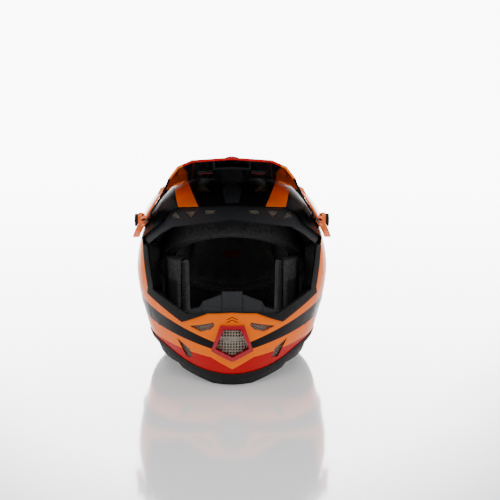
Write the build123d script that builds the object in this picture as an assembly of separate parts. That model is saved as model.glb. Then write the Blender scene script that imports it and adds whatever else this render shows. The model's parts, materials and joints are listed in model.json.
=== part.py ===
"""Motocross helmet standing on its chin pad and rear rim. Front is -Y, +X is the wearer's left, +Z is up.

Every solid is first made with the head's vertical axis near y = 0, then moved back by FRAME_SHIFT_Y, so that
the origin is the centre of the helmet's footprint box, on the surface that it stands on.
"""
from build123d import *
from functools import lru_cache
import math
import os

# --- driving dimensions, in millimetres ---------------------------------------------------------------------
SHELL_TOP = 258.0          # crown of the shell above the ground
SHELL_WAIST_Z = 115.0      # height of the widest section
SHELL_HALF_WIDTH = 126.5
SHELL_FRONT = 166.0        # head axis to the forehead's ellipse
SHELL_REAR = 147.0         # head axis to the back of the shell
SHELL_WALL = 3.5
HEAD_AXIS_Y = 5.0
CHIN_REACH = 45.0          # how far the chin bar stands in front of the forehead's ellipse
CHIN_TUCK = 12.0           # how far the chin bar's lower edge tucks back in
FRAME_SHIFT_Y = 31.0

HEAD_CENTRE = (0.0, 3.0, 108.0)
HEAD_HALF_WIDTH = 76.0
HEAD_HALF_LENGTH = 100.0
HEAD_RISE = 102.0          # head centre to the crown of the head
NECK_TAPER = 0.19          # share of its half width that the head form loses down to the ground

COMFORT_THICKNESS = 8.7    # fabric carrier and pads, over the head
INNER_EPS_AT = 9.0         # the inner liner lies between these two distances from the head
INNER_EPS_TO = 21.0
OUTER_EPS_AT = 28.0        # the outer liner starts here, so the dampers are 7 long
EPS_GAP = 0.3
CHIN_EPS_DEPTH = 30.0

PIVOT_Y = -28.0            # visor side screws
PIVOT_Z = 180.0
VISOR_WALL = 2.6
ANCHOR_Y = 10.0            # chin strap anchors
ANCHOR_Z = 70.0

RIVET_RADIUS = 3.0
SCREW_RADIUS = 3.0
CENTRE_SCREW_Y = -60.0
CHEEK_TOP = 135.0
CHEEK_BOTTOM = 22.0
CHIN_EPS_BACK = -88.0      # the chin bar's foam stands in front of this y, under the eyeport
CHIN_EPS_TOP = 92.0
BROW_AT = 4.5              # depth of the brow cover under the shell's surface
BROW_WALL = 4.0
MESH_LAP = 2.0             # how far a mesh reaches past its hole
MESH_WALL = 0.8
MESH_GAP = 0.1             # between a mesh and the wall that it lies behind
PAD_GAP = 0.4
TRIM_DEPTH = 7.0           # how deep the eyeport trim reaches under the shell's surface

FAR = 300.0                # longer than anything, for cutting tools


# --- curves and tools ---------------------------------------------------------------------------------------
def smooth_step(t):
    t = max(0.0, min(1.0, t))
    return t * t * (3 - 2 * t)


def shell_limits(z, inset):
    """Half width, reach to the rear and reach to the front of the shell's section at height z."""
    if z >= SHELL_WAIST_Z:
        rise = SHELL_TOP - inset - SHELL_WAIST_Z
        side = rear = front = math.sqrt(max(0.0, 1 - ((z - SHELL_WAIST_Z) / rise) ** 2))
    else:
        drop = (SHELL_WAIST_Z - z) / SHELL_WAIST_Z
        side = 1 - 0.248 * drop ** 1.56
        rear = 1 - 0.22 * drop ** 1.6
        front = 1.0
    chin = CHIN_REACH * chin_share(z) - CHIN_TUCK * max(0.0, (60 - z) / 60) ** 2
    return ((SHELL_HALF_WIDTH - inset) * side, (SHELL_REAR - inset) * rear,
            (SHELL_FRONT - inset) * front + chin)


def chin_share(z):
    """0 at the forehead, 1 at the chin bar."""
    return smooth_step((170 - z) / 110)


def front_power(z):
    """Superellipse power of the section's front half: rounder at the forehead, a prow at the chin."""
    return 2.2 - 0.45 * chin_share(z)


def shell_section(z, inset, count=28, seam=11):
    """Closed section at height z; its seam is at the left of the rear, where the shell has no openings."""
    side, rear, front = shell_limits(z, inset)
    points = []
    for i in range(seam, seam + count):
        angle = -math.pi / 2 + 2 * math.pi * i / count
        c, s = math.cos(angle), math.sin(angle)
        power, reach = (2.2, rear) if s >= 0 else (front_power(z), front)
        radius = ((abs(c) / side) ** power + (abs(s) / reach) ** power) ** (-1 / power)
        points.append((radius * c, HEAD_AXIS_Y + radius * s, z))
    return Wire([Edge.make_spline([Vector(*p) for p in points], periodic=True)])


@lru_cache(maxsize=None)
def helmet_body(inset):
    """Solid bounded by the shell's outer surface moved inward by inset."""
    low = [-20 - inset, 5, 30, 55, 80, 105, 130]
    rise = SHELL_TOP - inset - SHELL_WAIST_Z
    high = [SHELL_WAIST_Z + rise * math.cos(math.radians(a)) for a in (70, 58, 46, 35, 25, 16, 9, 4)]
    return Solid.make_loft([shell_section(z, inset) for z in sorted(low + high)], ruled=False)


def shell_front_y(x, z):
    """Y of the shell's front surface at x, z."""
    side, _, front = shell_limits(z, 0)
    power = front_power(z)
    return HEAD_AXIS_Y - front * max(0.0, 1 - (abs(x) / side) ** power) ** (1 / power)


@lru_cache(maxsize=None)
def head_form(grow):
    """Domed solid over a tapering neck, grow outside the wearer's head."""
    half, rise = HEAD_HALF_WIDTH + grow, HEAD_RISE + grow
    neck = half - (HEAD_HALF_WIDTH + OUTER_EPS_AT) * NECK_TAPER
    drop = HEAD_CENTRE[2]
    below = 30.0
    foot = half - (half - neck) * (drop + below) / drop
    profile = Wire([
        Edge.make_line((0, -drop - below), (foot, -drop - below)),
        Edge.make_line((foot, -drop - below), (half, 0)),
        *EllipticalCenterArc((0, 0), half, rise, 0, arc_size=90).edges(),
        Edge.make_line((0, rise), (0, -drop - below)),
    ])
    dome = revolve(Plane.XZ * Face(profile), Axis.Z)
    stretch = (HEAD_HALF_LENGTH + grow) / half
    return Pos(*HEAD_CENTRE) * scale(dome, by=(1, stretch, 1))


def prism(points, axis, low, high):
    """Polygon pushed along an axis. Points are (x, z) along Y, (y, z) along X and (x, y) along Z."""
    place, way = {"X": (lambda a, b: (low, a, b), (1, 0, 0)),
                  "Y": (lambda a, b: (a, low, b), (0, 1, 0)),
                  "Z": (lambda a, b: (a, b, low), (0, 0, 1))}[axis]
    face = Face(Wire.make_polygon([place(*p) for p in points], close=True))
    return extrude(face, amount=high - low, dir=way)


def both_sides(half_points):
    """A half outline from its lowest centre point to its top centre point, closed by its mirror image."""
    return half_points + [(-x, z) for x, z in reversed(half_points) if abs(x) > 1e-6]


def mirrored(part):
    return mirror(part, about=Plane.YZ)


def rod(radius, length, at, way):
    """Cylinder of that length that starts at a point and runs along way."""
    return Solid.make_cylinder(radius, length, Plane(origin=at, z_dir=way))


def box(low, high):
    centre = [(a + b) / 2 for a, b in zip(low, high)]
    return Pos(*centre) * Box(*[b - a for a, b in zip(low, high)])


def main_solid(part):
    return max(part.solids(), key=lambda s: s.volume)


# --- outlines seen from the front, (x, z) -------------------------------------------------------------------
EYEPORT = both_sides([(0, 85), (28, 83), (59, 69), (106, 93), (104.5, 101), (113, 150), (117, 158),
                      (89, 180), (80, 193), (66, 200), (0, 203)])
TRIM_INNER = both_sides([(0, 85.6), (28, 83.6), (52, 79), (97, 100), (96.5, 104), (105, 148), (109, 156),
                         (84, 178), (75, 190), (62, 196), (0, 200)])
BROW_COVER = both_sides([(0, 186), (40, 181), (73, 176), (88, 167), (105, 153), (112, 156), (118, 161),
                         (92, 184), (83, 197), (68, 204), (0, 207)])
BROW_HOLES = [
    [(62.5, 186), (70, 194), (77, 187)],
    [(49.5, 188), (42.5, 196), (58, 195)],
    [(21.5, 193), (19.5, 197), (31, 197), (34, 192)],
]
CHIN_VENT = both_sides([(0, 30), (24, 41.5), (13.5, 71)])
CHIN_VENT_HOLE = both_sides([(0, 35), (19.2, 44.4), (9.2, 67.2)])
CHIN_VENT_SLEEVE = both_sides([(0, 33.6), (20.6, 43.6), (10.2, 68.4)])
UPPER_CHIN_HOLE = [(20.3, 69.4), (24.4, 64.9), (36.4, 60.9), (49.4, 66), (21, 73.3)]
LOWER_CHIN_HOLE = [(45.4, 28.2), (53, 26.6), (65.5, 47.8), (52.1, 40.1), (49.3, 37.8)]
MOUTH_GUARD = both_sides([(0, 62), (58, 62), (58, 79), (38, 87), (34, 94), (12, 103), (12, 106)])
REAR_VENT = both_sides([(0, 148), (30, 154), (40, 172), (26, 186), (0, 190)])
REAR_SLOTS = [[(6, 156), (24, 160), (30, 168), (6, 166)], [(6, 171), (31, 173), (24, 182), (6, 184)]]
FOREHEAD_BOSS = both_sides([(0, 206), (8, 206), (12, 222), (4, 230)])
FOREHEAD_HOLE = [(26, 219), (42, 219), (46, 226), (34, 227)]
STERNUM = both_sides([(0, 0), (22, 0), (41, 4.5), (59, 9), (72, 20), (72, 60)])

# --- outlines seen from the side, (y, z) --------------------------------------------------------------------
RIM = [(-230, 7.5), (-190, 12), (-165, 17.5), (-148, 22.5), (-125, 28), (-60, 34), (-20, 34), (30, 24),
       (80, 12), (118, 8), (200, 8)]


def below_rim(clearance=0.0):
    """Everything under the shell's lower edge."""
    top = Edge.make_spline([Vector(0, y, z + clearance) for y, z in RIM])
    sides = Wire.make_polygon([(0, RIM[-1][0], RIM[-1][1] + clearance), (0, RIM[-1][0], -90),
                               (0, RIM[0][0], -90), (0, RIM[0][0], RIM[0][1] + clearance)], close=False)
    return extrude(Face(Wire([top, *sides.edges()])), amount=FAR, dir=(1, 0, 0), both=True)


def above_liner_plane(clearance):
    """The half space that holds the floating liner: its lower edge rises from the nape to the brow."""
    slope = 0.471
    return prism([(-FAR, 168 + slope * (FAR - 105) + clearance), (FAR, 168 - slope * (FAR + 105) + clearance),
                  (FAR, FAR), (-FAR, FAR)], "X", -FAR, FAR)


def eyeport_well():
    """The eyeport's opening through the foam: it narrows from the shell's edge towards the face."""
    deep, far = -20.0, -240.0
    inner, outer = [], []
    for x, z in EYEPORT:
        y = shell_front_y(x, z)
        x_in = 0.73 * x
        z_in = z - 4 if z < 125 else 125 + 0.63 * (z - 125)
        reach = (far - deep) / (y - deep)
        inner.append((x_in, deep, z_in))
        outer.append((x_in + (x - x_in) * reach, far, z_in + (z - z_in) * reach))
    return Solid.make_loft([Wire.make_polygon(inner, close=True), Wire.make_polygon(outer, close=True)],
                           ruled=True)


# --- more tools ---------------------------------------------------------------------------------------------
def front_cut(points, low=-FAR, high=-20.0):
    return prism(points, "Y", low, high)


def rear_cut(points):
    return prism(points, "Y", 20.0, FAR)


def grown(points, amount):
    """Outline moved outward by amount."""
    face = offset(Face(Wire.make_polygon([(a, b, 0) for a, b in points], close=True)), amount,
                  kind=Kind.INTERSECTION)
    return [(v.X, v.Y) for v in face.faces()[0].outer_wire().order_edges().vertices()]


@lru_cache(maxsize=None)
def skin(depth_from, depth_to):
    """Layer between two depths under the shell's outer surface; negative depths stand outside it."""
    return helmet_body(depth_from) - helmet_body(depth_to)


def pair(part):
    """The part and its mirror image as separate solids."""
    return Compound([*part.solids(), *mirrored(part).solids()])


def joined(shapes):
    first, *others = shapes
    return first.fuse(*others) if others else first


def thread_hole(at, way, radius, length):
    return rod(radius, length, Vector(*at) - Vector(*way) * length / 2, way)


outside = helmet_body(0)
under_rim = below_rim()
parts = {}

# --- fixings ------------------------------------------------------------------------------------------------
centre_screw_z = SHELL_WAIST_Z + (SHELL_TOP - SHELL_WAIST_Z) * math.sqrt(
    1 - ((CENTRE_SCREW_Y - HEAD_AXIS_Y) / SHELL_FRONT) ** 2)
centre_at = Vector(0, CENTRE_SCREW_Y, centre_screw_z)
centre_way = Vector(0, (CENTRE_SCREW_Y - HEAD_AXIS_Y) / SHELL_FRONT ** 2,
                    (centre_screw_z - SHELL_WAIST_Z) / (SHELL_TOP - SHELL_WAIST_Z) ** 2).normalized()
OUTWARD = {"left": Vector(1, 0, 0), "right": Vector(-1, 0, 0)}


def beside(side, x, y, z):
    """A point on the wearer's left or right, at distance x from the middle plane."""
    return Vector(OUTWARD[side].X * x, y, z)


def side_rods(radius, x_from, x_to, y, z):
    return [rod(radius, x_to - x_from, beside(side, x_from, y, z), way) for side, way in OUTWARD.items()]


# --- shell --------------------------------------------------------------------------------------------------
chin_holes = [UPPER_CHIN_HOLE, LOWER_CHIN_HOLE]
openings = [front_cut(CHIN_VENT_SLEEVE), front_cut(EYEPORT)]
for hole in chin_holes + [FOREHEAD_HOLE]:
    openings += [front_cut(hole), mirrored(front_cut(hole))]
for slot in REAR_SLOTS:
    openings += [rear_cut(slot), mirrored(rear_cut(slot))]
fixing_holes = [*side_rods(SCREW_RADIUS + 0.05, 60, FAR, PIVOT_Y, PIVOT_Z),
                *side_rods(RIVET_RADIUS, 60, FAR, ANCHOR_Y, ANCHOR_Z),
                thread_hole(centre_at, centre_way, SCREW_RADIUS + 0.05, 60)]
parts["outer_shell"] = outside - helmet_body(SHELL_WALL) - under_rim - openings - fixing_holes

# --- foam inside the shell ----------------------------------------------------------------------------------
CHEEK_PLAN = [(54, -110), (68, -110), (79, -88), (87, -45), (87, -20), (54, -20)]
cheek_corridor = prism(grown(CHEEK_PLAN, 1.5), "Z", -60, CHEEK_TOP + 4)
cheek_corridors = [cheek_corridor, mirrored(cheek_corridor)]
well = eyeport_well()
brow_pocket = front_cut(BROW_COVER) - helmet_body(BROW_AT + BROW_WALL + 2.5)
eyeport_mouth = front_cut(EYEPORT) - helmet_body(TRIM_DEPTH + EPS_GAP)

chin_channels = [front_cut(grown(CHIN_VENT_SLEEVE, 0.3))]
for hole in chin_holes:
    channel = front_cut(grown(hole, MESH_LAP + 0.3))
    chin_channels += [channel, mirrored(channel)]
roof_channels = []
for slot in REAR_SLOTS:
    channel = rear_cut(grown(slot, MESH_LAP + 0.3))
    roof_channels += [channel, mirrored(channel)]
channel = front_cut(grown(FOREHEAD_HOLE, MESH_LAP + 0.3), high=-60)
roof_channels += [channel, mirrored(channel)]

insert_pockets = [*side_rods(7.3, 96, 140, PIVOT_Y, PIVOT_Z),
                  rod(7.3, 20, centre_at - centre_way * 13, centre_way)]
rivet_bores = side_rods(RIVET_RADIUS + 0.3, 80, 150, ANCHOR_Y, ANCHOR_Z)
foam = (helmet_body(SHELL_WALL + EPS_GAP) - below_rim(5.0) - insert_pockets - rivet_bores
        - cheek_corridors - head_form(OUTER_EPS_AT) - well)
chin_zone = box((-FAR, -FAR, -60), (FAR, CHIN_EPS_BACK, CHIN_EPS_TOP))
chin_block = box((-FAR, -FAR, -60), (FAR, CHIN_EPS_BACK - EPS_GAP, CHIN_EPS_TOP - EPS_GAP))
parts["outer_eps_liner"] = main_solid(foam - chin_zone - brow_pocket - eyeport_mouth - roof_channels)
parts["chin_bar_eps"] = main_solid((foam & chin_block) - helmet_body(CHIN_EPS_DEPTH) - chin_channels
                                   - eyeport_mouth - front_cut(grown(MOUTH_GUARD, 0.4)))

# --- trims and pads on the shell's edges --------------------------------------------------------------------
band_room = box((-FAR, -FAR, 0), (FAR, FAR, 151))
eyeport_band = skin(-1.2, TRIM_DEPTH) & front_cut(EYEPORT) & band_room
parts["eyeport_trim"] = main_solid(eyeport_band - front_cut(TRIM_INNER))
lip = skin(-1.4, SHELL_WALL + 1.2) & (below_rim(3.5) - below_rim(-2.5))
cutters = [parts["outer_shell"], *cheek_corridors]
parts["lower_edge_trim"] = main_solid(lip - cutters)

PAD_TOP = -2.9             # under the shell's rim, clear of its trim
pad_room = below_rim(PAD_TOP) & box((-FAR, -FAR, 0), (FAR, FAR, 60))
sternum = skin(1.5, 34) & pad_room & front_cut(STERNUM, high=-100)
parts["sternum_pad"] = main_solid(sternum - cheek_corridors)
clavicle = skin(4, 15) & pad_room & box((62, -146, 12.5), (FAR, 0, 60))
clavicle = main_solid(clavicle - cheek_corridor - front_cut(grown(STERNUM, PAD_GAP), high=-99))
parts["clavicle_pad_left"] = clavicle
parts["clavicle_pad_right"] = mirrored(clavicle)
parts["rear_rim_pad"] = main_solid(skin(1.5, 24) & pad_room & box((-FAR, 72, 0), (FAR, FAR, 60)))

# --- chin bar -----------------------------------------------------------------------------------------------
bezel = (skin(-6, 0) & front_cut(CHIN_VENT)) + (skin(-6, 14) & front_cut(CHIN_VENT_SLEEVE))
parts["chin_vent_frame"] = main_solid(bezel - front_cut(CHIN_VENT_HOLE))
parts["chin_vent_mesh"] = main_solid(skin(1, 1 + MESH_WALL) & front_cut(CHIN_VENT_HOLE))
inner_mesh = skin(SHELL_WALL + MESH_GAP, SHELL_WALL + MESH_GAP + MESH_WALL)
mesh_room = inner_mesh - below_rim(3.8)
meshes = [main_solid(mesh_room & front_cut(grown(hole, MESH_LAP))) for hole in chin_holes]
parts["chin_side_meshes"] = Compound([m for mesh in meshes for m in (mesh, mirrored(mesh))])
guard = skin(SHELL_WALL + 1.6, SHELL_WALL + 9) & front_cut(MOUTH_GUARD)
parts["mouth_guard"] = main_solid(guard - chin_channels - parts["eyeport_trim"])

# --- brow, forehead and rear vents --------------------------------------------------------------------------
brow_cover = skin(BROW_AT, BROW_AT + BROW_WALL) & front_cut(BROW_COVER)
holes = [front_cut(hole) for hole in BROW_HOLES]
parts["brow_vent_cover"] = main_solid(brow_cover - holes - [mirrored(hole) for hole in holes])
behind_brow = skin(BROW_AT + BROW_WALL + MESH_GAP, BROW_AT + BROW_WALL + MESH_GAP + MESH_WALL)
meshes = [main_solid(behind_brow & front_cut(grown(hole, 1.0))) for hole in BROW_HOLES]
parts["brow_vent_mesh"] = Compound([m for mesh in meshes for m in (mesh, mirrored(mesh))])
parts["forehead_mesh"] = pair(main_solid(inner_mesh & front_cut(grown(FOREHEAD_HOLE, MESH_LAP), high=-60)))
parts["forehead_boss"] = main_solid(skin(-4, 0) & front_cut(FOREHEAD_BOSS, high=-60))
cowl = skin(-5, 0) & rear_cut(REAR_VENT)
slots = [rear_cut(slot) for slot in REAR_SLOTS]
parts["rear_exhaust_vent"] = main_solid(cowl - slots - [mirrored(slot) for slot in slots])
meshes = [main_solid(inner_mesh & rear_cut(grown(slot, MESH_LAP))) for slot in REAR_SLOTS]
parts["rear_vent_mesh"] = Compound([m for mesh in meshes for m in (mesh, mirrored(mesh))])


# --- floating liner and its dampers ------------------------------------------------------------------------
def liner_layer(grow_from, grow_to, above):
    return (head_form(grow_to) - head_form(grow_from)) & above_liner_plane(above)


parts["inner_eps_liner"] = main_solid(liner_layer(INNER_EPS_AT, INNER_EPS_TO, 0))
parts["fabric_carrier"] = main_solid(liner_layer(COMFORT_THICKNESS - 1.2, COMFORT_THICKNESS, 2))
PAD_TOP_GROW = COMFORT_THICKNESS - 1.5
cushion = liner_layer(0.3, PAD_TOP_GROW, 4)
parts["crown_pad"] = main_solid(cushion & box((-42, -55, 170), (42, 62, FAR)))
parts["brow_pad"] = main_solid(cushion & box((-60, -FAR, 100), (60, -59, 205)))
parts["side_pads"] = pair(main_solid(cushion & box((46, -55, 100), (FAR, 62, 196))))
parts["nape_pad"] = main_solid(cushion & box((-60, 66, 60), (60, FAR, 180)))
neck_ring = head_form(OUTER_EPS_AT - 1) - head_form(6)
parts["neck_roll"] = main_solid(neck_ring & box((-FAR, 50, 16), (FAR, FAR, 52)))

DAMPER_RADIUS = 5.0
DAMPER_RINGS = [(16, 8, 22.5), (38, 9, 0), (62, 6, 30)]   # elevation, count and first bearing, in degrees
gap_layer = liner_layer(INNER_EPS_TO, OUTER_EPS_AT, 12) - well
dampers = []
for elevation, count, first in DAMPER_RINGS:
    for i in range(count):
        bearing = math.radians(first + 360 * i / count)
        lift = math.radians(elevation)
        way = Vector(math.cos(lift) * math.cos(bearing), math.cos(lift) * math.sin(bearing), math.sin(lift))
        post = gap_layer & rod(DAMPER_RADIUS, 160, HEAD_CENTRE, way)
        dampers += [solid for solid in post.solids() if solid.volume > 400]
parts["dampers"] = Compound(dampers)

# --- cheek pads ---------------------------------------------------------------------------------------------
PLATE_WALL = 2.0


def plan_cut(points, low=-60.0, high=FAR):
    return prism(points, "Z", low, high)


INNER_PLAN = [(50, -120), (63, -120), (63, -50), (78, -50), (78, -10), (50, -10)]
TAB_LENGTH = 16.0
cheek_block = plan_cut(CHEEK_PLAN, CHEEK_BOTTOM, CHEEK_TOP) - head_form(0.5)
cheek_block = main_solid(cheek_block - above_liner_plane(-3))
plate_side = plan_cut(grown(CHEEK_PLAN, -PLATE_WALL))
plate = cheek_block & plan_cut([(66.5, -112), (90, -112), (90, -15), (66.5, -15)]) - plate_side
plate = main_solid(plate & plan_cut([(66, -FAR), (FAR, -FAR), (FAR, -26), (66, -26)], CHEEK_BOTTOM + 6, 110))
cover = main_solid((cheek_block & plan_cut(INNER_PLAN)) - plate)
core = main_solid(cheek_block - plan_cut(INNER_PLAN) - plate)
tab = box((70, -62, CHEEK_BOTTOM - TAB_LENGTH), (72, -42, CHEEK_BOTTOM))
for side, place in (("left", lambda part: part), ("right", mirrored)):
    parts[f"cheek_pad_cover_{side}"] = place(cover)
    parts[f"cheek_pad_core_{side}"] = place(core)
    parts[f"cheek_pad_plate_{side}"] = place(plate)
    parts[f"release_tab_{side}"] = place(tab)

# --- chin strap ---------------------------------------------------------------------------------------------
STRAP_WIDTH = 22.0
STRAP_WALL = 1.8
STRAP_MID = 5.0            # y of the strap's centre line
RING_ROD = 1.5
RING_BAR = 32.0            # ring's outer length along Y, over the strap


def band(points, thickness=STRAP_WALL, width=STRAP_WIDTH):
    """Flat webbing along a path of (x, z) points, centred on STRAP_MID."""
    sides = [[], []]
    for i, (x, z) in enumerate(points):
        before = points[max(i - 1, 0)]
        after = points[min(i + 1, len(points) - 1)]
        run_in = Vector(x - before[0], z - before[1]) if i else Vector(after[0] - x, after[1] - z)
        run_out = Vector(after[0] - x, after[1] - z) if i < len(points) - 1 else run_in
        bisector = run_in.normalized() + run_out.normalized()
        normal = Vector(-bisector.Y, bisector.X).normalized()
        reach = thickness / 2 / max(0.5, normal.dot(Vector(-run_in.Y, run_in.X).normalized()))
        for side, sign in zip(sides, (1, -1)):
            side.append((x + sign * reach * normal.X, z + sign * reach * normal.Y))
    return prism(sides[0] + sides[1][::-1], "Y", STRAP_MID - width / 2, STRAP_MID + width / 2)


def bent_rod(points, radius):
    """Closed round rod through points, with ball joints."""
    pieces = []
    for a, b in zip(points, points[1:] + points[:1]):
        run = Vector(*b) - Vector(*a)
        pieces += [rod(radius, run.length, a, run.normalized()), Pos(*a) * Sphere(radius)]
    return joined(pieces)


def d_ring(bar_x, bow_x, z):
    half = RING_BAR / 2 - RING_ROD
    corner = 5.0
    plan = [(bar_x, -half), (bow_x - corner, -half), (bow_x - 1.2, -half + 2.6),
            (bow_x, -half + corner + 1.5)]
    plan += [(x, -y) for x, y in reversed(plan)]
    return bent_rod([(x, STRAP_MID + y, z) for x, y in plan], RING_ROD)


LOW_RING = (-34.0, -14.0, 5.6)     # straight bar, bow, height
HIGH_RING = (-38.5, -19.2, 9.9)
parts["d_ring_inner"] = d_ring(*LOW_RING)
parts["d_ring_outer"] = d_ring(*HIGH_RING)
HANGER_X = 90.0            # where the strap's end plate turns on its rivet
HANGER_WALL = 2.0
HANGER_RADIUS = 12.0
DROP = [(HANGER_X - 2, 58), (84, 36), (76, 20), (62, 11)]
strap = band(DROP + [(40, 5.5), (8, 3.0), (-21, 2.9), (-23.4, 5), (-23.4, 11.8), (-21.8, 13.4), (-17, 13.4),
                     (-14.2, 11.5), (-12.6, 9.1), (-8, 8.7), (18, 10.2)])
parts["strap_left"] = strap
loop = box((-42.6, STRAP_MID - STRAP_WIDTH / 2, 2.0), (-29.9, STRAP_MID + STRAP_WIDTH / 2, 13.4))
loop -= box((-40.8, -FAR, 3.8), (-31.7, FAR, 11.6))
short_strap = band([(-x, z) for x, z in DROP] + [(-50, 7.5), (-42.2, 7.5)])
parts["strap_right"] = main_solid(short_strap + loop)
hanger = rod(HANGER_RADIUS, HANGER_WALL, (HANGER_X, ANCHOR_Y, ANCHOR_Z), (1, 0, 0))
hanger += box((HANGER_X, STRAP_MID - 10, 50), (HANGER_X + HANGER_WALL, STRAP_MID + 10, ANCHOR_Z))
hanger -= rod(RIVET_RADIUS + 0.05, 20, (HANGER_X - 9, ANCHOR_Y, ANCHOR_Z), (1, 0, 0))
parts["strap_hangers"] = pair(main_solid(hanger - strap))
comfort = band([(52.5, 12.9), (38, 9.6), (24, 8.4)], 4.0, 30.0) - strap
parts["chin_strap_pad"] = main_solid(comfort)
snap = rod(4.6, 1.6, (13, STRAP_MID, 10.9), (-0.065, 0, 1))
parts["strap_snap"] = main_solid(snap - strap)
rivets = []
for side, way in OUTWARD.items():
    shank = rod(RIVET_RADIUS, 36, beside(side, HANGER_X - 2.6, ANCHOR_Y, ANCHOR_Z), way)
    head = rod(6.0, 2.2, beside(side, HANGER_X - 2.6, ANCHOR_Y, ANCHOR_Z), way)
    washer = rod(8.0, 1.5, beside(side, HANGER_X + HANGER_WALL + 0.3, ANCHOR_Y, ANCHOR_Z), way)
    cap = rod(7.0, FAR, beside(side, 100, ANCHOR_Y, ANCHOR_Z), way) & skin(-2.5, 0)
    rivets.append(main_solid((shank & helmet_body(-1)) + head + washer + cap))
parts["strap_rivets"] = Compound(rivets)

# --- visor --------------------------------------------------------------------------------------------------
# y of each station, then (x, z) of the roof's edge, of the shoulder and of the arm's lower edge
VISOR_STATIONS = [
    (-215, (44, 256), (60, 249), (70, 236)),
    (-165, (47, 246), (64, 241), (76, 229)),
    (-125, (50, 237), (72, 229), (87, 212)),
    (-98, (50, 236), (80, 225), (99, 197)),
    (-80, (50, 241.5), (80, 226), (106, 187)),
    (-60, (48, 252), (84, 225), (113, 178)),
    (-45, (44, 256.5), (92, 222), (119, 172)),
]
CROWN_RISE = 3.0           # how far the roof's middle stands above its edges
WING = [(-62, 184), (-40, 166), (-22, 157), (-10, 166), (-9, 188), (-24, 204), (-44, 216), (-58, 222)]
WING_FACET = [(-62, 184), (-40, 166), (-22, 157), (-20.6, 159.4), (-38.2, 168.4), (-60, 186.8)]
SIDE_WINDOW = [(-120, 223), (-95, 219), (-62, 220), (-62, 200), (-92, 208)]


def visor_line(station, depth):
    """Points of the roof, shoulder and arm at one station, depth under the visor's top surface."""
    y, (ax, az), (bx, bz), (cx, cz) = station
    half = [(0, az + CROWN_RISE - depth), (ax - 0.4 * depth, az - depth),
            (bx - 0.75 * depth, bz - 0.75 * depth), (cx - depth, cz - 0.2 * depth)]
    return [Vector(-x, y, z) for x, z in half[:0:-1]] + [Vector(x, y, z) for x, z in half]


@lru_cache(maxsize=None)
def visor_layer(depth_from, depth_to):
    sections = [Wire.make_polygon(visor_line(s, depth_from) + visor_line(s, depth_to)[::-1], close=True)
                for s in VISOR_STATIONS]
    return Solid.make_loft(sections, ruled=True)


def on_both_sides(low, high):
    """A block and its mirror image."""
    block = box(low, high)
    return [block, mirrored(block)]


SEAT_X = 122.0             # the side screws' heads turn just outside this plane
BOSS_RADIUS = 10.0
WASHER_X = 116.5
SLOT_LENGTH = 27.0
HEAD_STANDOFF = 9.6        # the centre screw's head above the shell

wings = (skin(-8, -4.5) & prism(WING, "X", -FAR, FAR)).solids()
wings += (skin(-11, -2.2) & prism(WING_FACET, "X", -FAR, FAR)).solids()
bosses = side_rods(BOSS_RADIUS, WASHER_X + 0.4, SEAT_X, PIVOT_Y, PIVOT_Z)
visor = joined([visor_layer(0, VISOR_WALL), *wings, *bosses])
visor -= prism(SIDE_WINDOW, "X", -FAR, FAR)
visor -= side_rods(BOSS_RADIUS + 0.5, 60, WASHER_X + 0.4, PIVOT_Y, PIVOT_Z)
visor -= side_rods(BOSS_RADIUS, SEAT_X, FAR, PIVOT_Y, PIVOT_Z)
visor -= side_rods(SCREW_RADIUS + 0.09, 60, FAR, PIVOT_Y, PIVOT_Z)
visor -= Pos(0, -64, 240) * extrude(Rot(0, 0, 90) * SlotOverall(SLOT_LENGTH, 2 * SCREW_RADIUS + 1.2), 40)
grille = on_both_sides((22, -164, 230), (40, -148, FAR))
parts["visor"] = main_solid(visor - grille)
parts["visor_mesh"] = Compound([(visor_layer(1.0, 1.8) & part).solids()[0] for part in grille])
duct = (visor_layer(VISOR_WALL, 10) & box((-21, -204, 200), (21, -112, FAR)))
parts["visor_duct"] = main_solid(duct - (visor_layer(0, 8) & box((-18.5, -FAR, 200), (18.5, FAR, FAR))))

washers = [main_solid(part - outside) for part in side_rods(9, 90, WASHER_X, PIVOT_Y, PIVOT_Z)]
holes = side_rods(SCREW_RADIUS + 0.3, 60, FAR, PIVOT_Y, PIVOT_Z)
parts["visor_washers"] = Compound([main_solid(washer - holes) for washer in washers])

# --- screws and their inserts -------------------------------------------------------------------------------
HEAD_RADIUS = 8.5
HEAD_HEIGHT = 4.6
GRIP_COUNT = 12


def thumbscrew(at, way, shank_below, standoff):
    """Screw along way: its shank starts shank_below under at, and its head's seat is standoff above at."""
    shank = rod(SCREW_RADIUS, shank_below + standoff + 1, at - way * shank_below, way)
    place = Plane(origin=at + way * standoff, z_dir=way)
    head = Solid.make_cylinder(HEAD_RADIUS, HEAD_HEIGHT, place)
    grips = [Solid.make_cylinder(1.1, HEAD_HEIGHT, Plane(origin=place.from_local_coords(
        Vector(HEAD_RADIUS * math.cos(a), HEAD_RADIUS * math.sin(a), 0)), z_dir=way))
        for a in (2 * math.pi * i / GRIP_COUNT for i in range(GRIP_COUNT))]
    coin_slot = place.location * Pos(0, 0, HEAD_HEIGHT) * Box(11, 2, 3)
    return main_solid(joined([shank, head]) - grips - coin_slot)


for side, way in OUTWARD.items():
    parts[f"side_screw_{side}"] = thumbscrew(beside(side, SEAT_X, PIVOT_Y, PIVOT_Z), way, 22, 0.3)
parts["center_screw"] = thumbscrew(centre_at, centre_way, 11, HEAD_STANDOFF)
inserts = [*side_rods(7, 97, 118, PIVOT_Y, PIVOT_Z), rod(7, 20, centre_at - centre_way * 12, centre_way)]
inside = helmet_body(SHELL_WALL)
bores = [*side_rods(SCREW_RADIUS + 0.05, 60, FAR, PIVOT_Y, PIVOT_Z),
         thread_hole(centre_at, centre_way, SCREW_RADIUS + 0.05, 60)]
parts["screw_inserts"] = Compound([main_solid((insert & inside) - bores) for insert in inserts])

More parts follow.
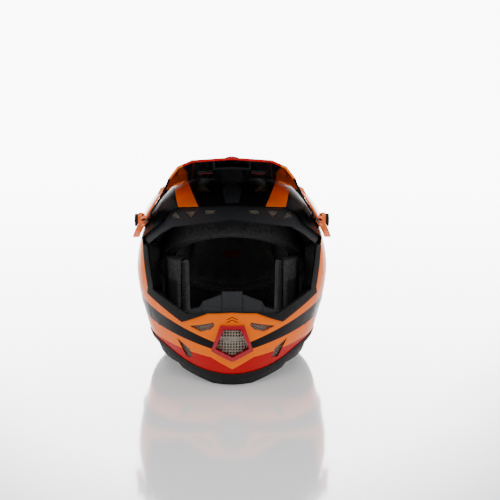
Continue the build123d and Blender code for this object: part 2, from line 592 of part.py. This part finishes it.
# --- write every part ---------------------------------------------------------------------------------------
os.makedirs("parts", exist_ok=True)
for name, part in parts.items():
    export_step(Pos(0, FRAME_SHIFT_Y, 0) * part, f"parts/{name}.step")
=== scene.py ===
import json
import math
import bpy
import bmesh
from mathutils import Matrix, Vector
from mathutils.bvhtree import BVHTree


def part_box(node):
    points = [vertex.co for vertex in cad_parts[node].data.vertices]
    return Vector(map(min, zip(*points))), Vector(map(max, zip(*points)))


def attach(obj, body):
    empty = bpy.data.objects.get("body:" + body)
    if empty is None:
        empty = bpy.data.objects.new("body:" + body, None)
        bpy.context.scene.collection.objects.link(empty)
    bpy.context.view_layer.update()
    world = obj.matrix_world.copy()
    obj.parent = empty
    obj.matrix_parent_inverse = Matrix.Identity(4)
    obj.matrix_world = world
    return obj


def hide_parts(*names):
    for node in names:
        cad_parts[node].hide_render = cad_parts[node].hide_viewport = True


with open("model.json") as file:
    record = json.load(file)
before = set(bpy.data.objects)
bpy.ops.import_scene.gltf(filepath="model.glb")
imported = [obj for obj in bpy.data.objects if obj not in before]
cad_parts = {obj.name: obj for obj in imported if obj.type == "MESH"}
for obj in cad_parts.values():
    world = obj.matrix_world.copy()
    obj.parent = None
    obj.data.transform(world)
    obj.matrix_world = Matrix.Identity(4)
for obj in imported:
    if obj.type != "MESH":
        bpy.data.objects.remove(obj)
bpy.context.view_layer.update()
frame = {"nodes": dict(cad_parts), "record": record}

MM = 0.001
HEAD_AXIS = 0.031          # y of the head's axis, behind the middle of the footprint


# --- node graphs: sizes inside a material are millimetres, with y counted from the head's axis -------------
class Paint:
    """A material whose colour, roughness and bump are built from formulas on the rest position."""

    def __init__(self, name, color, rough=0.5, metallic=0.0, coat=0.0, sheen=0.0, specular=0.5):
        self.material = bpy.data.materials.new(name)
        self.material.use_nodes = True
        self.tree = self.material.node_tree
        self.shader = self.tree.nodes["Principled BSDF"]
        self.color = color
        self.rough = rough
        self.height = None
        self.set("Metallic", metallic)
        self.set("Coat Weight", coat)
        self.set("Coat Roughness", 0.06)
        self.set("Sheen Weight", sheen)
        self.set("Specular IOR Level", specular)
        place = self.add("ShaderNodeTexCoord").outputs["Object"]
        self.place = self.add("ShaderNodeVectorMath", operation="SCALE").outputs[0]
        self.tree.links.new(place, self.place.node.inputs[0])
        self.place.node.inputs["Scale"].default_value = 1 / MM
        split = self.add("ShaderNodeSeparateXYZ")
        self.tree.links.new(self.place, split.inputs[0])
        self.x, raw_y, self.z = split.outputs
        self.y = self.math("SUBTRACT", raw_y, HEAD_AXIS / MM)
        self.ax = self.math("ABSOLUTE", self.x)

    def add(self, kind, **facts):
        node = self.tree.nodes.new(kind)
        for key, value in facts.items():
            setattr(node, key, value)
        return node

    def set(self, socket, value):
        if isinstance(value, bpy.types.NodeSocket):
            self.tree.links.new(value, self.shader.inputs[socket])
        else:
            self.shader.inputs[socket].default_value = value

    def feed(self, socket, value):
        if isinstance(value, bpy.types.NodeSocket):
            self.tree.links.new(value, socket)
        else:
            socket.default_value = value

    def math(self, operation, *values):
        node = self.add("ShaderNodeMath", operation=operation)
        for socket, value in zip(node.inputs, values):
            self.feed(socket, value)
        return node.outputs[0]

    def line(self, a, b, c, d):
        """a |x| + b y + c z + d, in millimetres."""
        total = self.math("MULTIPLY", self.ax, a)
        total = self.math("MULTIPLY_ADD", self.y, b, total)
        return self.math("MULTIPLY_ADD", self.z, c, self.math("ADD", total, d))

    def above(self, *planes):
        """1 where every plane's value is over 0, with an edge a fifth of a millimetre soft."""
        lowest = self.line(*planes[0])
        for plane in planes[1:]:
            lowest = self.math("MINIMUM", lowest, self.line(*plane))
        return self.ramp(lowest, -0.1, 0.1)

    def ramp(self, value, low, high, to_low=0.0, to_high=1.0):
        node = self.add("ShaderNodeMapRange")
        for socket, number in zip(node.inputs, (value, low, high, to_low, to_high)):
            self.feed(socket, number)
        return node.outputs[0]

    def noise(self, scale, detail=3.0, stretch=(1, 1, 1)):
        """Noise with features about scale millimetres across."""
        node = self.add("ShaderNodeTexNoise")
        self.feed(node.inputs["Vector"], self.stretched(stretch))
        self.feed(node.inputs["Scale"], 1 / scale)
        self.feed(node.inputs["Detail"], detail)
        return node.outputs[0]

    def cells(self, scale):
        node = self.add("ShaderNodeTexVoronoi")
        self.feed(node.inputs["Vector"], self.place)
        self.feed(node.inputs["Scale"], 1 / scale)
        return node.outputs["Distance"]

    def stretched(self, factors):
        node = self.add("ShaderNodeVectorMath", operation="MULTIPLY")
        self.feed(node.inputs[0], self.place)
        node.inputs[1].default_value = factors
        return node.outputs[0]

    def wave(self, value, pitch):
        """Sine of a length, from -1 to 1, repeating every pitch millimetres."""
        return self.math("SINE", self.math("MULTIPLY", value, 2 * math.pi / pitch))

    def mix(self, share, a, b):
        node = self.add("ShaderNodeMix", data_type="RGBA")
        self.feed(node.inputs["Factor"], share)
        self.feed(node.inputs["A"], a)
        self.feed(node.inputs["B"], b)
        return node.outputs["Result"]

    def tint(self, share, color):
        self.color = self.mix(share, self.color, color)

    def raise_by(self, height):
        """Adds a height, in millimetres, to the bump."""
        self.height = height if self.height is None else self.math("ADD", self.height, height)

    def done(self):
        self.feed(self.shader.inputs["Base Color"], self.color)
        self.feed(self.shader.inputs["Roughness"], self.rough)
        if self.height is not None:
            bump = self.add("ShaderNodeBump")
            bump.inputs["Distance"].default_value = MM
            bump.inputs["Strength"].default_value = 1.0
            self.feed(bump.inputs["Height"], self.height)
            self.feed(self.shader.inputs["Normal"], bump.outputs[0])
        return self.material


ORANGE = (1.0, 0.17, 0.0, 1)
RED = (0.52, 0.005, 0.007, 1)
BLACK = (0.006, 0.006, 0.007, 1)
CRIMSON = (0.40, 0.003, 0.014, 1)
DARK_GREY = (0.028, 0.029, 0.032, 1)


def shaded(color, factor, lift=0.0):
    """The colour made darker by a factor under 1, or lighter by one over 1."""
    return tuple(min(1.0, c * factor + lift) for c in color[:3]) + (1,)


def painted(name, color, rough=0.3, coat=0.25, specular=0.15):
    """Gloss paint with clear coat, a little orange peel and fine dust in its roughness."""
    paint = Paint(name, color, rough, coat=coat, specular=specular)
    paint.rough = paint.ramp(paint.noise(24, 4), 0.3, 0.7, rough * 0.8, rough * 1.3)
    paint.raise_by(paint.math("MULTIPLY", paint.noise(3.0, 1), 0.012))
    return paint


# Areas of paint, in the order in which they are laid on. Each is bounded by planes (a, b, c, d), and holds
# the points where a |x| + b y + c z + d is over 0 for all of them.
SHELL_AREAS = [
    # crown: black above a line that rises towards the back, with an orange flash on each side in front
    (BLACK, (0.10, -0.20, 1.0, -176)),
    (ORANGE, (1.0, 0.0, -0.5, 60), (-1.0, 0.0, 0.33, 0.0), (0, 0, 1, -190), (0, -1, 0, -45)),
    # crown: an orange and a red stripe that run round the back
    (ORANGE, (0.0, -0.30, 1.0, -205), (0.0, 0.30, -1.0, 217), (0, 1, 0, 30)),
    (RED, (0.0, -0.30, 1.0, -193), (0.0, 0.30, -1.0, 200), (0, 1, 0, 30)),
    # chin and sides: black stripe, then the red band along the lower edge
    (BLACK, (0.292, 0.0295, -1, 51), (-0.218, 0.0073, 1, -36.4), (1, 0, 0, -20)),
    (RED, (0.52, 0, -1, 20), (0.11, 0, -1, 30), (0, 0, -1, 39)),
    # a narrow slot in each cheek, not cut but painted black: a painted shade standing for the dark opening
    (BLACK, (1, 0, 1, -145), (-1, 0, -1, 156), (1, 0, -1, -29.5), (-1, 0, 1, 34.5), (0, -1, 0, 0)),
]
CHEVRON_TOPS = (80.4, 77.4)        # heights of the two strokes of the emblem over the chin vent
CHEVRON_STROKE = 1.0
CHEVRON_SLOPE = 0.5
CHEVRON_HALF_WIDTH = 6.0
CHEVRON_BACK = 100                 # the emblem is painted only this far in front of the head's axis

VISOR_AREAS = [
    (ORANGE, (1, 0, 0, -46)),                                           # side panels
    (RED, (-1, 0, 0, 46), (0, -1, 0, -206)),                            # front lip
    (RED, (-1, -0.25, 0, 0), (1, 0.25, 0, 14), (0, -1, 0, -90)),        # two stripes that spread to the front
]
VISOR_FLASH = [(1.0, 0, -0.5, 60), (-1.0, 0, 0.33, 4), (0, -1, 0, -70), (0, 1, 0, 128)]    # on its underside
VISOR_UNDER_FRONT = (0, -1, 0, -58)        # the underside is painted in front of this plane
FACING_DOWN = (-0.25, -0.15)               # z of the normal where the underside is full, and where it ends


def lay_on(paint, areas):
    for color, *planes in areas:
        paint.tint(paint.above(*planes), color)


def shell_paint():
    paint = painted("shell_paint", ORANGE, rough=0.34, coat=0.08, specular=0.06)
    lay_on(paint, SHELL_AREAS)
    for top in CHEVRON_TOPS:
        paint.tint(paint.above((-CHEVRON_SLOPE, 0, -1, top), (CHEVRON_SLOPE, 0, 1, CHEVRON_STROKE - top),
                               (-1, 0, 0, CHEVRON_HALF_WIDTH), (0, -1, 0, -CHEVRON_BACK)), BLACK)
    return paint.done()


def visor_paint():
    """Black plastic with painted panels; its underside is black with an orange flash on each side."""
    paint = painted("visor_plastic", BLACK, rough=0.16)
    lay_on(paint, VISOR_AREAS)
    normal = paint.add("ShaderNodeSeparateXYZ")
    paint.feed(normal.inputs[0], paint.add("ShaderNodeTexCoord").outputs["Normal"])
    under = paint.math("MULTIPLY", paint.ramp(normal.outputs[2], *FACING_DOWN, 1.0, 0.0),
                       paint.above(VISOR_UNDER_FRONT))
    paint.tint(under, BLACK)
    paint.tint(paint.math("MULTIPLY", under, paint.above(*VISOR_FLASH)), ORANGE)
    return paint.done()


def moulded(name, color, rough=0.5, grain=0.05):
    """Moulded plastic with a fine spark-eroded grain."""
    paint = Paint(name, color, rough, specular=0.2)
    paint.rough = paint.ramp(paint.noise(9, 4), 0.3, 0.7, rough - 0.08, rough + 0.08)
    paint.raise_by(paint.math("MULTIPLY", paint.noise(0.5, 2), grain))
    return paint


GUARD_GROOVES_X = (12.0, 35.0)     # upright grooves on each side of the middle
GUARD_GROOVE_Z = 88.0              # one groove across


def mouth_guard_paint():
    paint = moulded("mouth_guard_plastic", DARK_GREY, 0.38)
    for x in GUARD_GROOVES_X:
        groove = paint.math("ABSOLUTE", paint.math("SUBTRACT", paint.ax, x))
        paint.raise_by(paint.ramp(groove, 0.2, 1.0, -0.6, 0.0))
        # painted shade: the middle of each upright groove is tinted near black, where shade falls in the
        # groove
        paint.tint(paint.ramp(groove, 0.2, 0.6, 0.8, 0.0), BLACK)
    groove = paint.math("ABSOLUTE", paint.math("SUBTRACT", paint.z, GUARD_GROOVE_Z))
    paint.raise_by(paint.ramp(groove, 0.2, 1.0, -0.5, 0.0))
    return paint.done()


def crimson():
    paint = moulded("crimson_bezel", CRIMSON, 0.3, 0.02)
    paint.set("Coat Weight", 0.4)
    return paint.done()


def rubber():
    paint = Paint("rubber_trim", (0.012, 0.012, 0.013, 1), 0.6, specular=0.12)
    paint.raise_by(paint.math("MULTIPLY", paint.noise(0.8, 3), 0.08))
    paint.tint(paint.ramp(paint.noise(30, 3), 0.55, 0.75, 0.0, 0.3), (0.03, 0.03, 0.03, 1))
    return paint.done()


def foam(name, color, bead):
    """Expanded bead foam: a cell at each bead, each bead painted darker towards its edge as a painted shade
    where the beads meet.
    """
    paint = Paint(name, color, 0.8, specular=0.2)
    cell = paint.cells(bead)
    paint.raise_by(paint.ramp(cell, 0.0, 0.6, 0.35, 0.0))
    # painted shade: the outer part of each bead is tinted darker, deepest in the seams
    paint.tint(paint.ramp(cell, 0.35, 0.7, 0.0, 0.6), shaded(color, 0.4))
    return paint.done()


def knit(name, color, pitch=1.1, depth=0.16):
    """Brushed knit fabric: rows of loops with a soft sheen, the raised loops painted paler as a painted
    highlight.
    """
    paint = Paint(name, color, 0.92, sheen=0.25, specular=0.1)
    across = paint.wave(paint.math("ADD", paint.x, paint.y), pitch)
    along = paint.wave(paint.math("MULTIPLY_ADD", paint.y, -0.5, paint.z), pitch * 0.8)
    weave = paint.math("MULTIPLY", across, along)
    paint.raise_by(paint.math("MULTIPLY", weave, depth))
    light = shaded(color, 2.4, 0.01)
    # painted highlight: the raised loops are tinted paler; the next tint adds paler patches at random
    paint.tint(paint.ramp(weave, 0.0, 1.0, 0.0, 0.6), light)
    paint.tint(paint.ramp(paint.noise(18, 4), 0.4, 0.75, 0.0, 0.35), light)
    return paint


def spacer_fabric():
    """Perforated fabric: rows of diamond holes, painted near black as the painted shade inside them."""
    paint = knit("spacer_fabric", (0.055, 0.056, 0.060, 1), 0.9, 0.08)
    u = paint.math("MULTIPLY_ADD", paint.y, 0.6, paint.z)
    v = paint.math("MULTIPLY_ADD", paint.y, -0.6, paint.z)
    hole = paint.math("MULTIPLY", paint.wave(u, 5.0), paint.wave(v, 5.0))
    # painted shade: the holes are tinted near black
    paint.tint(paint.ramp(hole, 0.35, 0.6, 0.0, 0.9), (0.004, 0.004, 0.004, 1))
    paint.raise_by(paint.ramp(hole, 0.3, 0.7, 0.0, -0.7))
    return paint.done()


def webbing(name, color):
    """Woven strap: ribs along it, crossed by the weft, with the raised ribs painted paler as a painted
    highlight.
    """
    paint = Paint(name, color, 0.7, sheen=0.2, specular=0.3)
    run = paint.math("ADD", paint.x, paint.math("MULTIPLY", paint.z, 0.7))
    rib = paint.math("MULTIPLY", paint.wave(paint.y, 1.5), paint.wave(run, 2.2))
    paint.raise_by(paint.math("MULTIPLY", rib, 0.2))
    # painted highlight: the raised ribs are tinted paler
    paint.tint(paint.ramp(rib, 0.0, 1.0, 0.0, 0.5), shaded(color, 2, 0.01))
    return paint.done()


def metal(name, color, rough):
    """Bare metal with a brushed grain."""
    paint = Paint(name, color, rough, metallic=1.0)
    paint.rough = paint.ramp(paint.noise(3, 4, (1, 0.15, 1)), 0.3, 0.7, rough * 0.7, rough * 1.4)
    paint.raise_by(paint.math("MULTIPLY", paint.noise(0.6, 2, (1, 0.1, 1)), 0.02))
    return paint.done()


def wire(color):
    """Anodised wire, half metal and half a dull skin, with darker patches."""
    paint = Paint("wire_mesh", color, 0.5, metallic=0.45)
    paint.tint(paint.ramp(paint.noise(2.5, 2), 0.4, 0.7, 0.0, 0.5), shaded(color, 0.6))
    return paint.done()


def elastomer():
    paint = Paint("elastomer", (0.8, 0.25, 0.02, 1), 0.35)
    paint.raise_by(paint.math("MULTIPLY", paint.noise(2, 2), 0.05))
    return paint.done()


def comfort_fabric():
    """Black knit, with a dull red patch sewn on inside the back of the helmet."""
    paint = knit("comfort_fabric", (0.030, 0.028, 0.027, 1))
    paint.tint(paint.above((-1, 0, 0, 13), (0, 0, 1, -118), (0, 0, -1, 128), (0, 1, 0, -60)),
               (0.09, 0.006, 0.006, 1))
    return paint.done()


MATERIALS = {
    "shell_paint": shell_paint(),
    "visor_plastic": visor_paint(),
    "black_trim": moulded("black_trim", BLACK, 0.3).done(),
    "dark_grey_trim": moulded("dark_grey_trim", DARK_GREY, 0.55, 0.08).done(),
    "crimson_bezel": crimson(),
    "wire_mesh": wire((0.44, 0.39, 0.32, 1)),
    "rubber_trim": rubber(),
    "eps_foam": foam("eps_foam", (0.055, 0.055, 0.058, 1), 3.2),
    "epp_foam": moulded("epp_foam", (0.012, 0.012, 0.013, 1), 0.6, 0.12).done(),
    "elastomer": elastomer(),
    "comfort_fabric": comfort_fabric(),
    "mesh_fabric": spacer_fabric(),
    "webbing": webbing("webbing", (0.010, 0.010, 0.011, 1)),
    "red_webbing": webbing("red_webbing", (0.5, 0.01, 0.015, 1)),
    "snap_plate": moulded("snap_plate", (0.02, 0.02, 0.022, 1), 0.5).done(),
    "steel": metal("steel", (0.55, 0.55, 0.57, 1), 0.28),
    "screw_plastic": moulded("screw_plastic", (0.012, 0.012, 0.013, 1), 0.4).done(),
    "brass_insert": metal("brass_insert", (0.7, 0.45, 0.16, 1), 0.3),
}
SLOT_OF = {part["node"]: part["material_slot"] for part in frame["record"]["subparts"]}
BODY_OF = {node: body for body, nodes in frame["record"]["behaviour"]["bodies"].items() for node in nodes}


def give(piece, material):
    piece.data.materials.clear()
    piece.data.materials.append(material)


for node, piece in frame["nodes"].items():
    give(piece, MATERIALS[SLOT_OF[node]])
give(frame["nodes"]["mouth_guard"], mouth_guard_paint())
give(frame["nodes"]["visor_duct"], painted("duct_gloss", BLACK, 0.12).done())


# --- pieces that stand for CAD nodes ------------------------------------------------------------------------
def stand_in(name, mesh, node):
    """A new piece made of mesh that takes the place of a node, with its body and its finish."""
    piece = bpy.data.objects.new(name, mesh)
    bpy.context.scene.collection.objects.link(piece)
    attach(piece, BODY_OF[node])
    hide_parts(node)
    give(piece, MATERIALS[SLOT_OF[node]])
    return piece


def apply_modifiers(piece):
    depsgraph = bpy.context.evaluated_depsgraph_get()
    mesh = bpy.data.meshes.new_from_object(piece.evaluated_get(depsgraph))
    piece.modifiers.clear()
    old = piece.data
    piece.data = mesh
    bpy.data.meshes.remove(old)
    for polygon in mesh.polygons:
        polygon.use_smooth = True


def remeshed(piece, voxel):
    modifier = piece.modifiers.new("remesh", "REMESH")
    modifier.mode = "VOXEL"
    modifier.voxel_size = voxel
    modifier.use_smooth_shade = True
    apply_modifiers(piece)


def move_along_normals(mesh, distance):
    normals = [v.normal.copy() for v in mesh.vertices]
    for vertex, normal in zip(mesh.vertices, normals):
        vertex.co += normal * distance


def smoothed(piece, factor, repeat):
    modifier = piece.modifiers.new("smooth", "SMOOTH")
    modifier.factor = factor
    modifier.iterations = repeat
    apply_modifiers(piece)


CLOTH_PRESSURE = 4
CLOTH_FRAMES = 20


def cushion(node, voxel=4.5 * MM, shrink=2.2 * MM, cap=2.2 * MM):
    """A padded piece: the CAD solid shrunk, inflated as cloth, and kept within cap of where it started."""
    piece = stand_in(f"{node}_soft", frame["nodes"][node].data.copy(), node)
    remeshed(piece, voxel)
    smoothed(piece, 0.5, 4)
    move_along_normals(piece.data, -shrink)
    start = [v.co.copy() for v in piece.data.vertices]
    cloth = piece.modifiers.new("cloth", "CLOTH")
    cloth.settings.use_pressure = True
    cloth.settings.uniform_pressure_force = CLOTH_PRESSURE
    cloth.settings.effector_weights.gravity = 0
    cloth.point_cache.frame_end = CLOTH_FRAMES
    for step in range(1, CLOTH_FRAMES + 1):
        bpy.context.scene.frame_set(step)
    apply_modifiers(piece)
    bpy.context.scene.frame_set(1)
    for vertex, origin in zip(piece.data.vertices, start):
        moved = vertex.co - origin
        if moved.length > cap:
            vertex.co = origin + moved * (cap / moved.length)
    modifier = piece.modifiers.new("finer", "SUBSURF")
    modifier.levels = 1
    apply_modifiers(piece)


WEBBING_VOXEL = 0.7 * MM


def webbing_piece(node):
    """Flat webbing: the CAD band with its sharp edges worn round."""
    piece = stand_in(f"{node}_webbing", frame["nodes"][node].data.copy(), node)
    remeshed(piece, WEBBING_VOXEL)
    smoothed(piece, 0.5, 6)


PAD_FILLS = {"crown_pad": 0.7, "brow_pad": 0.7, "side_pads": 0.7, "nape_pad": 0.7, "neck_roll": 0.8,
             "cheek_pad_cover_left": 0.8, "cheek_pad_cover_right": 0.8}
for node, fill in PAD_FILLS.items():
    cushion(node)
cushion("chin_strap_pad", voxel=2.0 * MM, shrink=0.6 * MM, cap=0.8 * MM)
for node in ("strap_left", "strap_right", "release_tab_left", "release_tab_right"):
    webbing_piece(node)


RAY_START = 0.5            # metres in front of a plate, clear of the whole helmet
WEAVE_SWING = 0.9          # how far a wire swings over and under the others, in wire radii


def woven(node, ray, across, pitch, radius, forward=0.0):
    """Woven wire over a CAD plate: two crossed families of wires that pass over and under each other.

    ray is the direction in which the plate is looked at, across is one direction in its plane, and forward
    is how far the wires stand in front of the plate."""
    mesh = frame["nodes"][node].data
    tree = BVHTree.FromPolygons([v.co for v in mesh.vertices], [p.vertices for p in mesh.polygons])
    side = across.cross(ray).normalized()
    low, high = (Vector(corner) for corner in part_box(node))
    middle = (low + high) / 2
    reach = (high - low).length / 2
    count = int(reach / pitch) + 2
    curve = bpy.data.curves.new(node, "CURVE")
    curve.dimensions = "3D"
    curve.bevel_depth = radius
    curve.bevel_resolution = 1
    for family, (run, step) in enumerate(((across + side, across - side), (across - side, across + side))):
        run, step = run.normalized(), step.normalized()
        for i in range(-count, count + 1):
            points = []
            for j in range(-2 * count, 2 * count + 1):
                at = middle + step * (i * pitch) + run * (j * pitch / 2)
                hit = tree.ray_cast(at - ray * RAY_START, ray)[0]
                lift = radius * WEAVE_SWING * math.cos(math.pi * (j / 2 + i + family))
                if hit:
                    points.append(hit + ray * (radius + lift - forward))
                if (not hit or j == 2 * count) and points:
                    if len(points) > 1:
                        spline = curve.splines.new("POLY")
                        spline.points.add(len(points) - 1)
                        for point, place in zip(spline.points, points):
                            point.co = (*place, 1)
                    points = []
    holder = bpy.data.objects.new(node, curve)
    bpy.context.scene.collection.objects.link(holder)
    bpy.context.view_layer.update()
    wires = bpy.data.meshes.new_from_object(holder.evaluated_get(bpy.context.evaluated_depsgraph_get()))
    bpy.data.objects.remove(holder)
    for polygon in wires.polygons:
        polygon.use_smooth = True
    return stand_in(f"{node}_wires", wires, node)


BACK, FRONT, DOWN = Vector((0, 1, 0)), Vector((0, -1, 0)), Vector((0, 0, -1))
RIGHT, RISING = Vector((1, 0, 0)), Vector((1, 0, 1)).normalized()
WIRE_MESHES = [            # node, ray, across, then pitch, radius and forward in millimetres
    ("chin_vent_mesh", BACK, RISING, 3.3, 0.85, 0.0),
    ("chin_side_meshes", BACK, RIGHT, 2.3, 0.4, 0.0),
    ("brow_vent_mesh", BACK, RIGHT, 2.3, 0.5, 3.2),
    ("forehead_mesh", BACK, RIGHT, 2.3, 0.4, 0.0),
    ("rear_vent_mesh", FRONT, RIGHT, 2.3, 0.4, 0.0),
]
for node, ray, across, pitch, radius, forward in WIRE_MESHES:
    woven(node, ray, across, pitch * MM, radius * MM, forward * MM)
give(woven("visor_mesh", DOWN, RIGHT, 1.8 * MM, 0.6 * MM), MATERIALS["black_trim"])

# --- a piece that CAD doesn't hold --------------------------------------------------------------------------
TAB_FOOT = 170             # height of the tab's lower edge; all the tab's sizes are millimetres
TAB_OUTLINE = [(-16, TAB_FOOT), (-5, TAB_FOOT), (-3, 172.5), (3, 172.5), (5, TAB_FOOT), (16, TAB_FOOT),
               (22, 187), (-22, 187)]
TAB_FRONT_Y = -100.5       # from the head's axis, at the foot
TAB_LEAN = 0.5             # how far it leans back for each millimetre of height
TAB_DEPTH = 5
TAB_EDGE = 0.8


def brow_tab():
    """Small trapezoid tab at the middle of the floating liner's front edge, with a notch under it."""
    work = bmesh.new()
    front = [work.verts.new((x * MM, HEAD_AXIS + (TAB_FRONT_Y + TAB_LEAN * (z - TAB_FOOT)) * MM, z * MM))
             for x, z in TAB_OUTLINE]
    face = work.faces.new(front)
    made = bmesh.ops.extrude_face_region(work, geom=[face])["geom"]
    for part in made:
        if isinstance(part, bmesh.types.BMVert):
            part.co.y += TAB_DEPTH * MM
    bmesh.ops.recalc_face_normals(work, faces=work.faces)
    bmesh.ops.bevel(work, geom=work.edges[:], offset=TAB_EDGE * MM, segments=2, affect="EDGES")
    mesh = bpy.data.meshes.new("brow_tab")
    work.to_mesh(mesh)
    work.free()
    piece = bpy.data.objects.new("brow_tab", mesh)
    bpy.context.scene.collection.objects.link(piece)
    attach(piece, "floating_liner")
    give(piece, MATERIALS["dark_grey_trim"])


brow_tab()


# --- floor, light and camera --------------------------------------------------------------------------------
FLOOR_REACH = 12.0
FLOOR_GLOW = 0.3           # the floor is a faintly lit white sheet


def floor():
    mesh = bpy.data.meshes.new("floor")
    low, high = -FLOOR_REACH, FLOOR_REACH
    mesh.from_pydata([(low, low, 0), (high, low, 0), (high, high, 0), (low, high, 0)], [], [(0, 1, 2, 3)])
    piece = bpy.data.objects.new("floor", mesh)
    bpy.context.scene.collection.objects.link(piece)
    paint = Paint("floor", (0.95, 0.95, 0.955, 1), 0.12, coat=1.0, specular=0.8)
    paint.raise_by(paint.math("MULTIPLY", paint.noise(60, 2), 0.02))
    paint.set("Emission Color", (1, 1, 1, 1))
    paint.set("Emission Strength", FLOOR_GLOW)
    mesh.materials.append(paint.done())


MIDDLE = (0, 0, 0.13)      # the point that every light faces
SOFTBOXES = [              # name, place, width, height, power, and whether glossy surfaces mirror it
    ("left_rim", (-1.1, 0.55, 0.5), 0.7, 1.4, 7, False),
    ("right_rim", (1.1, 0.55, 0.5), 0.7, 1.4, 7, False),
    ("top", (0, -0.1, 1.9), 2.2, 2.0, 26, True),
    ("front_left", (-1.2, -1.3, 0.9), 0.6, 0.9, 7, False),
    ("front_right", (1.2, -1.3, 0.9), 0.6, 0.9, 7, False),
]


def softbox(name, place, width, height, power, mirrored):
    light = bpy.data.lights.new(name, "AREA")
    light.shape = "RECTANGLE"
    light.size = width
    light.size_y = height
    light.energy = power
    lamp = bpy.data.objects.new(name, light)
    bpy.context.scene.collection.objects.link(lamp)
    lamp.visible_camera = False
    lamp.visible_glossy = mirrored
    lamp.location = place
    lamp.rotation_euler = (Vector(MIDDLE) - Vector(place)).to_track_quat("-Z", "Y").to_euler()


BACKDROP_EDGE = (0.88, 0.945)      # y of a direction where the backdrop begins, and where it is full
ROOM_LEVEL = 0.4                   # strengths of the world's light
BACKDROP_LEVEL = 10.0


def sky():
    """A white studio: a bright backdrop behind the helmet, and a dim room round the rest."""
    world = bpy.data.worlds.new("studio")
    world.use_nodes = True
    tree = world.node_tree
    split = tree.nodes.new("ShaderNodeSeparateXYZ")
    level = tree.nodes.new("ShaderNodeMapRange")
    tree.links.new(tree.nodes.new("ShaderNodeTexCoord").outputs["Generated"], split.inputs[0])
    tree.links.new(split.outputs["Y"], level.inputs["Value"])
    for socket, value in zip(("From Min", "From Max"), BACKDROP_EDGE):
        level.inputs[socket].default_value = value
    level.inputs["To Min"].default_value = ROOM_LEVEL
    level.inputs["To Max"].default_value = BACKDROP_LEVEL
    tree.nodes["Background"].inputs["Color"].default_value = (1, 1, 1, 1)
    tree.links.new(level.outputs[0], tree.nodes["Background"].inputs["Strength"])
    bpy.context.scene.world = world


LENS = 64.4                # focal length and sensor width, in millimetres
SENSOR = 36
CAMERA_DISTANCE = 1.2      # in front of the head's axis
CAMERA_HEIGHT = 0.245
CAMERA_YAW = math.radians(1.15)
CAMERA_PITCH = math.radians(5.1)       # downwards


def camera():
    lens = bpy.data.cameras.new("camera")
    lens.lens = LENS
    lens.sensor_width = SENSOR
    eye = bpy.data.objects.new("camera", lens)
    bpy.context.scene.collection.objects.link(eye)
    eye.location = (0, HEAD_AXIS - CAMERA_DISTANCE, CAMERA_HEIGHT)
    way = Vector((math.sin(CAMERA_YAW), math.cos(CAMERA_YAW), -math.tan(CAMERA_PITCH)))
    eye.rotation_euler = way.to_track_quat("-Z", "Y").to_euler()
    bpy.context.scene.camera = eye


floor()
sky()
for facts in SOFTBOXES:
    softbox(*facts)
camera()
